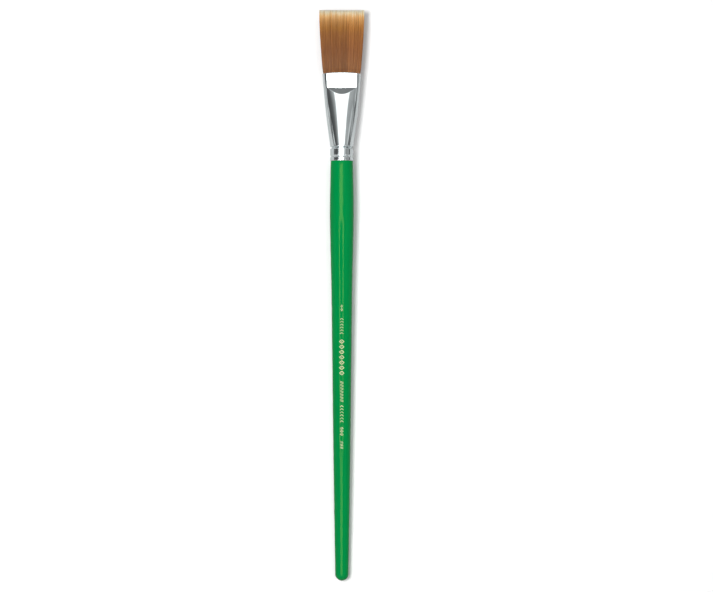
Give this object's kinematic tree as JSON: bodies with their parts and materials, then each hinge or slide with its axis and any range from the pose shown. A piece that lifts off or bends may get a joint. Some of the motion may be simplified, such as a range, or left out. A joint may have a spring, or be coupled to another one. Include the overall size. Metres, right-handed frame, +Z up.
{
  "type": "flat paint brush",
  "caption": "Long-handled flat artist's brush with a lacquered wooden handle, a crimped metal ferrule and a square-cut filament tuft that bends flatwise.",
  "frame": {"origin": "on the table, under the middle of the brush's box as it lies", "axes": "+Y along the brush towards the tuft, +X across the flat faces, +Z up. The brush lies on its belly and its tail with a flat face of the ferrule up, so its own axis rises 0.81 degrees towards the tuft."},
  "size_m": [0.0278, 0.354, 0.0149],
  "materials": {
    "green_lacquer": "gloss",
    "bright_aluminium": "polished",
    "wood_glue": "satin",
    "epoxy": "gloss",
    "filament": "satin",
    "foil": "gloss"
  },
  "bodies": {
    "handle": {"handle": "green_lacquer", "ferrule": "bright_aluminium", "tenon_glue": "wood_glue", "epoxy_plug": "epoxy", "hair_root": "filament"},
    "tuft": {"hair_tuft": "filament"}
  },
  "joints": [
    {"name": "tuft_flex", "type": "hinge", "parent": "handle", "child": "tuft", "pos_m": [0, 0.144, 0.00866], "axis": [1, 0, 0], "range_deg": [-35, 35], "stiffness_Nm_per_rad": 0.08}
  ]
}
